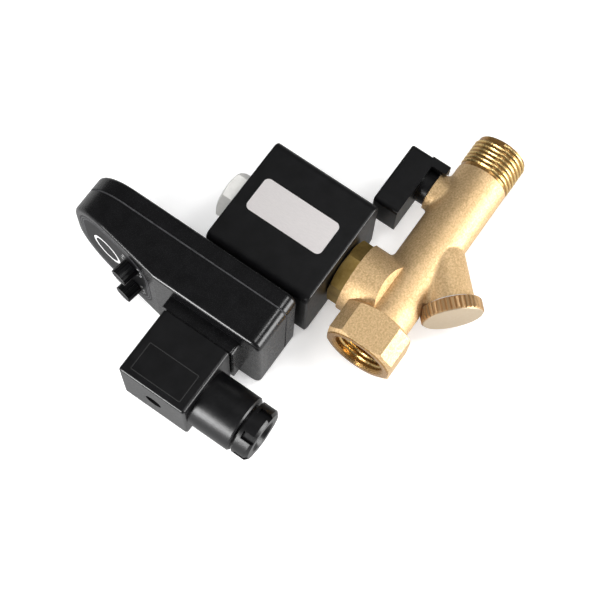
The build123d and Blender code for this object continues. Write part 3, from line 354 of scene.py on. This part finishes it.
def cut_thread(name, colours, height):
    """A cut thread with painted shade: darkest at its roots, brightest where it is a crest's height off the pitch
    cylinder.
    """
    material, tree, shader = start_material(name, colours.brass_cut, 0.95, 0.26)
    flatten = tree.nodes.new("ShaderNodeVectorMath")
    flatten.operation = "MULTIPLY"
    flatten.inputs[1].default_value = (0, 1, 1)
    tree.links.new(object_place(tree), flatten.inputs[0])
    reach = tree.nodes.new("ShaderNodeVectorMath")
    reach.operation = "LENGTH"
    tree.links.new(flatten.outputs["Vector"], reach.inputs[0])
    depth = combine(tree, "SUBTRACT", reach.outputs["Value"], INLET_R)
    depth = combine(tree, "DIVIDE", combine(tree, "ABSOLUTE", depth, 0.0), height)
    # painted shade: the colour darkens from the crests down into the roots
    drift_colour(tree, shader, depth, colours.brass_painted_shade, colours.brass_cut, 0.15, 0.75)
    drift_roughness(tree, shader, noise(tree, 700, 2), 0.22, 0.32)
    return material


def knurled_brass(name, colours):
    """The strainer cap: a pale turned face and a knurl painted browner as the shade of its grooves."""
    material, tree, shader = start_material(name, colours.cap_face, 0.85, 0.36)
    project = tree.nodes.new("ShaderNodeVectorMath")
    project.operation = "DOT_PRODUCT"
    project.inputs[1].default_value = BRANCH_OUT
    tree.links.new(object_place(tree), project.inputs[0])
    cap = frame["nodes"]["strainer_cap"]
    face = max((cap.matrix_world @ v.co).dot(BRANCH_OUT) for v in cap.data.vertices)
    on_face = combine(tree, "GREATER_THAN", project.outputs["Value"], face - CAP_FACE_MARGIN)
    # painted shade: the knurl is darker than the face to stand in for the shade in its grooves
    drift_colour(tree, shader, on_face, colours.knurl_painted_shade, colours.cap_face)
    drift_roughness(tree, shader, noise(tree, 900, 3), 0.3, 0.44)
    raise_grain(tree, shader, [(noise(tree, 3200, 2), 0.3, 0.05 * MM)])
    return material


def machined_brass(name, base, dark, roughness, stretch=(1, 1, 1)):
    """Cut brass with fine tool marks."""
    material, tree, shader = start_material(name, base, 0.75, roughness)
    drift_colour(tree, shader, noise(tree, 260, 4), dark, base)
    drift_roughness(tree, shader, noise(tree, 900, 3, stretch), roughness - 0.06, roughness + 0.08)
    raise_grain(tree, shader, [(noise(tree, 3200, 2, stretch), 0.3, 0.05 * MM)])
    return material


def moulded_plastic(name, colours, roughness, grain_scale, grain_strength, specular=0.42):
    """Black glass-filled nylon with the mould's texture."""
    material, tree, shader = start_material(name, colours.black, 0.0, roughness, specular)
    drift_colour(tree, shader, noise(tree, 180, 4), colours.black, colours.black_worn)
    drift_roughness(tree, shader, noise(tree, 900, 4), roughness - 0.03, roughness + 0.04)
    raise_grain(tree, shader, [(noise(tree, grain_scale, 3), grain_strength, 0.08 * MM)])
    return material


def soft_rubber(name, base):
    """Matte rubber."""
    material, tree, shader = start_material(name, base, 0.0, 0.75, 0.3)
    lighter = tuple(min(1.0, channel * 1.6 + 0.004) for channel in base)
    drift_colour(tree, shader, noise(tree, 500, 3), base, lighter)
    raise_grain(tree, shader, [(noise(tree, 1800, 2), 0.25, 0.1 * MM)])
    return material


def plain_metal(name, base, roughness, stretch=(1, 1, 1), metallic=0.7):
    """Plated or drawn steel."""
    material, tree, shader = start_material(name, base, metallic, roughness)
    darker = tuple(channel * 0.92 for channel in base)
    drift_colour(tree, shader, noise(tree, 600, 4, stretch), darker, base)
    drift_roughness(tree, shader, noise(tree, 800, 3, stretch), roughness - 0.05, roughness + 0.1)
    raise_grain(tree, shader, [(noise(tree, 2400, 2, stretch), 0.15, 0.04 * MM)])
    return material


def smooth_plastic(name, base, roughness):
    """A plain coloured moulding."""
    material, tree, shader = start_material(name, base, 0.0, roughness)
    darker = tuple(channel * 0.88 for channel in base)
    drift_colour(tree, shader, noise(tree, 250, 3), darker, base)
    raise_grain(tree, shader, [(noise(tree, 2000, 2), 0.1, 0.05 * MM)])
    return material


def finish_materials(colours):
    """One material for each of the record's material slots."""
    black = tuple(colours.black)
    tarnish = (0.34, 0.22, 0.06)
    return {
        "forged_brass": blasted_brass("forged_brass", colours),
        "turned_brass": machined_brass("turned_brass", colours.brass_aged, tarnish, 0.36),
        "knurled_brass": knurled_brass("knurled_brass", colours),
        "plated_ball": plain_metal("plated_ball", (0.82, 0.82, 0.83), 0.12),
        "ptfe": smooth_plastic("ptfe", (0.86, 0.86, 0.84), 0.45),
        "black_nylon": moulded_plastic("black_nylon", colours, 0.34, 1500, 0.15),
        "zinc_steel": plain_metal("zinc_steel", colours.steel, 0.3),
        "stainless": plain_metal("stainless", (0.62, 0.62, 0.63), 0.28, (1, 12, 1)),
        "spring_steel": plain_metal("spring_steel", (0.5, 0.5, 0.52), 0.25),
        "black_rubber": soft_rubber("black_rubber", black),
        "coil_plastic": moulded_plastic("coil_plastic", colours, 0.36, 1300, 0.15),
        "timer_plastic": moulded_plastic("timer_plastic", colours, 0.26, 1900, 0.02),
        "connector_plastic": moulded_plastic("connector_plastic", colours, 0.32, 1700, 0.1),
        "knob_plastic": moulded_plastic("knob_plastic", colours, 0.34, 1900, 0.15),
        "pot_plastic": smooth_plastic("pot_plastic", (0.07, 0.14, 0.40), 0.4),
        "circuit_board": smooth_plastic("circuit_board", (0.03, 0.20, 0.09), 0.4),
        "label_black": moulded_plastic("label_black", colours, 0.42, 900, 0.03, 0.15),
        "plate_silver": plain_metal("plate_silver", colours.plate, 0.46, (20, 1, 1)),
        "nickel_nut": plain_metal("nickel_nut", (0.98, 0.97, 0.93), 0.4, metallic=0.15),
        "tinned_blade": plain_metal("tinned_blade", (0.72, 0.72, 0.72), 0.3),
        "gland_white": smooth_plastic("gland_white", (0.72, 0.72, 0.70), 0.5),
    }


def assign(thing, material):
    """One material all over an object."""
    thing.data.materials.clear()
    thing.data.materials.append(material)


# ---- mesh helpers ------------------------------------------------------------
def piece_from(mesh, name, material, body=ROOT):
    """A finished bmesh becomes a piece that rides on a body."""
    data = bpy.data.meshes.new(name)
    mesh.to_mesh(data)
    mesh.free()
    piece = bpy.data.objects.new(name, data)
    bpy.context.scene.collection.objects.link(piece)
    assign(piece, material)
    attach(piece, body)
    return piece


def helical_ridge(start, direction, radius, height, pitch, turns, steps):
    """A V thread's ridge wound about the X axis; a negative height winds it inwards."""
    mesh = bmesh.new()
    root = pitch * THREAD_ROOT
    crest = pitch * THREAD_CREST
    sink = -THREAD_SINK if height > 0 else THREAD_SINK
    profile = [
        (start - root * direction, radius + sink),
        (start - crest * direction, radius + height),
        (start + crest * direction, radius + height),
        (start + root * direction, radius + sink),
    ]
    verts = [mesh.verts.new((x, 0, r)) for x, r in profile]
    face = mesh.faces.new(verts)
    bmesh.ops.spin(
        mesh,
        geom=list(verts) + list(face.edges) + [face],
        cent=(0, 0, 0),
        axis=(1, 0, 0),
        dvec=(direction * pitch / steps, 0, 0),
        angle=tau * turns,
        steps=int(steps * turns),
        use_merge=False,
        use_duplicate=False,
    )
    bmesh.ops.recalc_face_normals(mesh, faces=mesh.faces[:])
    return mesh


def panel_matrix(along, across, height=0.0):
    """Where a flat pattern lies on the sloped panel, from the point between the knobs."""
    origin = (KNOBS[0] + KNOBS[1]) / 2
    place = origin + PANEL_ALONG * along + Vector((0, 0, 1)) * across + PANEL_OUT * height
    side = PANEL_OUT.cross(PANEL_ALONG)
    turn = Matrix((PANEL_ALONG, side, PANEL_OUT)).transposed().to_4x4()
    return Matrix.Translation(place) @ turn


def rounded_outline(mesh, length, width, foot_r, head_r):
    """Fills a bmesh with a flat face from x = 0, with round corners at each end."""
    grid = bmesh.ops.create_grid(mesh, x_segments=1, y_segments=1, size=0.5)
    bmesh.ops.translate(mesh, verts=grid["verts"], vec=(0.5, 0, 0))
    bmesh.ops.scale(mesh, verts=grid["verts"], vec=(length, width, 1))
    for radius, at_foot in ((foot_r, True), (head_r, False)):
        corners = [v for v in mesh.verts if (v.co.x < length / 2) == at_foot]
        corners = sorted(corners, key=lambda v: -abs(v.co.y))[:2]
        bmesh.ops.bevel(
            mesh,
            geom=corners,
            offset=radius,
            affect="VERTICES",
            segments=CORNER_FACETS,
            profile=0.5,
            material=-1,
        )


def keep_border(mesh, line):
    """Turns flat faces into a closed line along their outline."""
    inset = bmesh.ops.inset_region(
        mesh, faces=mesh.faces[:], thickness=line, use_boundary=True, use_even_offset=True
    )
    border = set(inset["faces"])
    inner = [face for face in mesh.faces if face not in border]
    bmesh.ops.delete(mesh, geom=inner, context="FACES")


def thicken(mesh, height):
    """Raises flat faces into a closed slab from z = 0."""
    raised = bmesh.ops.extrude_face_region(mesh, geom=mesh.faces[:], use_keep_orig=True)
    moved = [item for item in raised["geom"] if isinstance(item, bmesh.types.BMVert)]
    bmesh.ops.translate(mesh, verts=moved, vec=(0, 0, height))
    bmesh.ops.recalc_face_normals(mesh, faces=mesh.faces[:])


def add_mesh(target, source, matrix):
    """Copies one bmesh into another at a place, and frees it."""
    source.transform(matrix)
    data = bpy.data.meshes.new("part")
    source.to_mesh(data)
    source.free()
    target.from_mesh(data)
    bpy.data.meshes.remove(data)


# ---- operators ---------------------------------------------------------------
class DRAINVALVE_OT_finishes(bpy.types.Operator):
    """Give every CAD node the finish of its material slot"""

    bl_idname = "drain_valve.finishes"
    bl_label = "Finishes"

    def execute(self, context):
        finishes = finish_materials(context.scene.drain_valve_colours)
        for part in frame["record"]["subparts"]:
            assign(frame["nodes"][part["node"]], finishes[part["material_slot"]])
        return {"FINISHED"}


class DRAINVALVE_OT_inlet_thread(bpy.types.Operator):
    """Wind the male thread round the inlet spigot"""

    bl_idname = "drain_valve.inlet_thread"
    bl_label = "Inlet thread"

    def execute(self, context):
        sizes = context.scene.drain_valve_sizes
        pitch = sizes.thread_pitch
        turns = (INLET_LENGTH - 2 * INLET_RUNOUT * pitch) / pitch
        start = -INLET_RUNOUT * pitch
        mesh = helical_ridge(
            start, -1, INLET_R, sizes.thread_height, pitch, turns, sizes.thread_steps
        )
        colours = context.scene.drain_valve_colours
        cut_and_shaded = cut_thread("cut_thread", colours, sizes.thread_height)
        piece_from(mesh, "inlet_thread_ridge", cut_and_shaded)
        return {"FINISHED"}


class DRAINVALVE_OT_outlet_thread(bpy.types.Operator):
    """Wind the female thread inside the outlet's mouth"""

    bl_idname = "drain_valve.outlet_thread"
    bl_label = "Outlet thread"

    def execute(self, context):
        sizes = context.scene.drain_valve_sizes
        pitch = sizes.thread_pitch
        turns = (OUTLET_LENGTH - 2 * OUTLET_RUNOUT * pitch) / pitch
        start = OUTLET_MOUTH.x + OUTLET_RUNOUT * pitch
        mesh = helical_ridge(
            start, 1, OUTLET_R, -sizes.thread_height, pitch, turns, sizes.thread_steps
        )
        cut_and_shaded = bpy.data.materials["cut_thread"]
        piece_from(mesh, "outlet_thread_ridge", cut_and_shaded)
        return {"FINISHED"}


class DRAINVALVE_OT_panel_print(bpy.types.Operator):
    """Print the border, the ring and the dial marks on the timer's panel"""

    bl_idname = "drain_valve.panel_print"
    bl_label = "Panel print"

    def execute(self, context):
        sizes = context.scene.drain_valve_sizes
        foot, length, width, top = label_extent()
        colours = context.scene.drain_valve_colours
        lines = bmesh.new()
        for margin in BORDER_MARGINS:
            border = bmesh.new()
            corners = (BORDER_FOOT_CORNER - margin, BORDER_HEAD_CORNER - margin)
            rounded_outline(border, length - 2 * margin, width - 2 * margin, *corners)
            keep_border(border, sizes.ink_line)
            thicken(border, sizes.ink_height)
            add_mesh(lines, border, panel_matrix(foot + margin, 0, top))
        grey = smooth_plastic("grey_ink", colours.faint_ink, 0.4)
        piece_from(lines, "panel_border", grey)
        printed = bmesh.new()
        ring = bmesh.new()
        bmesh.ops.create_circle(
            ring, cap_ends=True, segments=RING_FACETS, radius=sizes.print_ring
        )
        keep_border(ring, sizes.print_ring_width)
        thicken(ring, sizes.ink_height)
        add_mesh(printed, ring, panel_matrix(RING_UP_PANEL, 0, top))
        for knob in KNOBS:
            dial = panel_matrix(0, knob.z, top)
            for step in range(-DIAL_REACH, DIAL_REACH + 1):
                add_mesh(printed, dial_mark(sizes, step), dial @ dial_turn(step))
        white = smooth_plastic("white_ink", colours.ink, 0.45)
        piece_from(printed, "panel_print", white)
        return {"FINISHED"}


def label_extent():
    """The label's foot and length up the slope, its width, and its face's height."""
    label = frame["nodes"]["panel_label"]
    origin = (KNOBS[0] + KNOBS[1]) / 2
    points = [label.matrix_world @ vertex.co - origin for vertex in label.data.vertices]
    along = [point.dot(PANEL_ALONG) for point in points]
    across = [point.z for point in points]
    top = max(point.dot(PANEL_OUT) for point in points)
    return min(along), max(along) - min(along), max(across) - min(across), top


def dial_turn(step):
    """The turn of one dial mark about its knob."""
    return Matrix.Rotation(radians(DIAL_ANGLE * step) + pi / 2, 4, "Z")


def dial_mark(sizes, step):
    """A radial line, longer in the middle and at both ends of the dial."""
    mark = bmesh.new()
    length = LONG_MARK if step % DIAL_REACH == 0 else SHORT_MARK
    grid = bmesh.ops.create_grid(mark, x_segments=1, y_segments=1, size=0.5)
    bmesh.ops.scale(mark, verts=grid["verts"], vec=(length, sizes.ink_line, 1))
    bmesh.ops.translate(mark, verts=grid["verts"], vec=(MARK_START + length / 2, 0, 0))
    thicken(mark, sizes.ink_height)
    return mark


class DRAINVALVE_OT_seam_highlight_bead(bpy.types.Operator):
    """Lay the thin bead that fills the timer's parting groove; its lighter grey is a painted highlight"""

    bl_idname = "drain_valve.seam_seal"
    bl_label = "Seam seal"

    def execute(self, context):
        sizes = context.scene.drain_valve_sizes
        front_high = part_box("timer_front_housing")[1]
        rear_low, rear_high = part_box("timer_rear_cover")
        length = rear_high[1] - rear_low[1] - 2 * sizes.seam_depth
        width = rear_high[2] - rear_low[2] - 2 * sizes.seam_depth
        highlight_bead = bmesh.new()
        corners = (FOOT_CORNER - sizes.seam_depth, HEAD_CORNER - sizes.seam_depth)
        rounded_outline(highlight_bead, length, width, *corners)
        keep_border(highlight_bead, sizes.seam_land)
        thicken(highlight_bead, sizes.seam_width)
        # the outline's length runs up the timer, its width along Z and its height along X
        turn = Matrix(((0, 0, 1), (1, 0, 0), (0, 1, 0))).to_4x4()
        start = Vector((front_high[0] - PARTING_GROOVE / 2, rear_low[1] + sizes.seam_depth, 0))
        start.x -= sizes.seam_width / 2
        highlight_bead.transform(Matrix.Translation(start) @ turn)
        # painted highlight: the bead's lighter grey stands in for the highlight along the parting line
        rubber = soft_rubber("seam_highlight_rubber", tuple(context.scene.drain_valve_colours.seam))
        piece_from(highlight_bead, "seam_seal", rubber)
        return {"FINISHED"}


class DRAINVALVE_OT_connector_lid(bpy.types.Operator):
    """Raise the moulded outline on the connector's top and bottom"""

    bl_idname = "drain_valve.connector_lid"
    bl_label = "Connector lid lines"

    def execute(self, context):
        sizes = context.scene.drain_valve_sizes
        low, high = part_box("connector_housing")
        lines = bmesh.new()
        for side in (1, -1):
            field = bmesh.new()
            rounded_outline(field, LID_LENGTH, LID_WIDTH, LID_CORNER, LID_CORNER)
            keep_border(field, sizes.lid_line)
            thicken(field, LID_RAISE)
            height = high[2] if side == 1 else low[2]
            centre = high[1] - LID_FROM_EDGE - LID_WIDTH / 2
            place = Matrix.Translation((low[0] + LID_FROM_END, centre, height))
            flip = Matrix.Identity(4) if side == 1 else Matrix.Rotation(pi, 4, "X")
            add_mesh(lines, field, place @ flip)
        plastic = bpy.data.materials["connector_plastic"]
        piece_from(lines, "connector_lid_lines", plastic)
        return {"FINISHED"}


class DRAINVALVE_OT_studio(bpy.types.Operator):
    """Set the floor, the lights, the world and the camera"""

    bl_idname = "drain_valve.studio"
    bl_label = "Studio"

    def execute(self, context):
        scene = context.scene
        low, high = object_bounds()
        lay_floor(scene, scene.drain_valve_colours.floor, low[2])
        target = (Vector(low) + Vector(high)) / 2
        for name, offset, width, power in LIGHTS:
            light = add_light(scene, name, target, offset, width, power)
            light.visible_glossy = name != UNREFLECTED_LIGHT
        light_world(scene)
        place_camera(scene)
        scene.view_settings.view_transform = "Standard"
        return {"FINISHED"}


def lay_floor(scene, base, height):
    """A wide sheet of pale paper that keeps the object's shadow."""
    material, tree, shader = start_material("studio_paper", base, 0.0, 0.9, 0.1)
    shade = tree.nodes.new("ShaderNodeMix")
    shade.data_type = "RGBA"
    shade.inputs["A"].default_value = (*REFLECTED_PAPER, 1.0)
    shade.inputs["B"].default_value = (*base, 1.0)
    shader.inputs["Emission Color"].default_value = (1, 1, 1, 1)
    rays = tree.nodes.new("ShaderNodeLightPath")
    glow = add_node(tree, "ShaderNodeMapRange", To_Min=REFLECTED_GLOW, To_Max=SEEN_GLOW)
    tree.links.new(rays.outputs["Is Camera Ray"], shade.inputs["Factor"])
    tree.links.new(shade.outputs["Result"], shader.inputs["Base Color"])
    tree.links.new(rays.outputs["Is Camera Ray"], glow.inputs["Value"])
    tree.links.new(glow.outputs["Result"], shader.inputs["Emission Strength"])
    mesh = bmesh.new()
    bmesh.ops.create_grid(mesh, x_segments=1, y_segments=1, size=FLOOR_HALF)
    data = bpy.data.meshes.new("floor")
    mesh.to_mesh(data)
    mesh.free()
    floor = bpy.data.objects.new("floor", data)
    floor.location.z = height - FLOOR_GAP
    assign(floor, material)
    scene.collection.objects.link(floor)
    floor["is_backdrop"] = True


def add_light(scene, name, target, offset, width, power):
    """A square soft box aimed at the object."""
    data = bpy.data.lights.new(name, "AREA")
    data.size = width
    data.energy = power
    light = bpy.data.objects.new(name, data)
    light.location = target + Vector(offset)
    light.rotation_euler = (-Vector(offset)).to_track_quat("-Z", "Y").to_euler()
    scene.collection.objects.link(light)
    return light


def light_world(scene):
    """A dome that the camera sees as white, and that is only a faint light to the object."""
    world = bpy.data.worlds.new("studio_dome")
    world.use_nodes = True
    tree = world.node_tree
    background = tree.nodes["Background"]
    background.inputs["Color"].default_value = (1, 1, 1, 1)
    rays = tree.nodes.new("ShaderNodeLightPath")
    seen = tree.nodes.new("ShaderNodeMath")
    seen.operation = "MAXIMUM"
    tree.links.new(rays.outputs["Is Camera Ray"], seen.inputs[0])
    tree.links.new(rays.outputs["Is Transmission Ray"], seen.inputs[1])
    level = add_node(tree, "ShaderNodeMapRange", To_Min=DOME_FILL, To_Max=DOME_SEEN)
    tree.links.new(seen.outputs["Value"], level.inputs["Value"])
    tree.links.new(level.outputs["Result"], background.inputs["Strength"])
    scene.world = world


def place_camera(scene):
    """A long lens from above, with the pipe running up to the right."""
    view = Vector(CAMERA_VIEW).normalized()
    right = view.cross(Vector(CAMERA_UP)).normalized()
    up = right.cross(view)
    matrix = Matrix((right, up, -view)).transposed().to_4x4()
    matrix.translation = Vector(CAMERA_PLACE)
    data = bpy.data.cameras.new("studio_camera")
    data.lens = CAMERA_LENS
    data.shift_x, data.shift_y = CAMERA_SHIFT
    camera = bpy.data.objects.new("studio_camera", data)
    camera.matrix_world = matrix
    scene.collection.objects.link(camera)
    scene.camera = camera


class DRAINVALVE_PT_panel(bpy.types.Panel):
    """The drain valve's sizes, colours and operators"""

    bl_label = "Drain valve"
    bl_idname = "DRAINVALVE_PT_panel"
    bl_space_type = "VIEW_3D"
    bl_region_type = "UI"
    bl_category = "Drain valve"

    def draw(self, context):
        layout = self.layout
        for group in (context.scene.drain_valve_sizes, context.scene.drain_valve_colours):
            column = layout.column()
            for name in group.__annotations__:
                column.prop(group, name)
        for operator in OPERATORS:
            layout.operator(operator.bl_idname)


OPERATORS = (
    DRAINVALVE_OT_finishes,
    DRAINVALVE_OT_inlet_thread,
    DRAINVALVE_OT_outlet_thread,
    DRAINVALVE_OT_panel_print,
    DRAINVALVE_OT_seam_highlight_bead,
    DRAINVALVE_OT_connector_lid,
    DRAINVALVE_OT_studio,
)
CLASSES = (DrainValveSizes, DrainValveColours, *OPERATORS, DRAINVALVE_PT_panel)


def register():
    for cls in CLASSES:
        bpy.utils.register_class(cls)
    bpy.types.Scene.drain_valve_sizes = PointerProperty(type=DrainValveSizes)
    bpy.types.Scene.drain_valve_colours = PointerProperty(type=DrainValveColours)


def unregister():
    del bpy.types.Scene.drain_valve_colours
    del bpy.types.Scene.drain_valve_sizes
    for cls in reversed(CLASSES):
        bpy.utils.unregister_class(cls)


def main():
    register()
    bpy.ops.drain_valve.finishes()
    bpy.ops.drain_valve.inlet_thread()
    bpy.ops.drain_valve.outlet_thread()
    bpy.ops.drain_valve.panel_print()
    bpy.ops.drain_valve.seam_seal()
    bpy.ops.drain_valve.connector_lid()
    bpy.ops.drain_valve.studio()


if __name__ == "__main__":
    main()
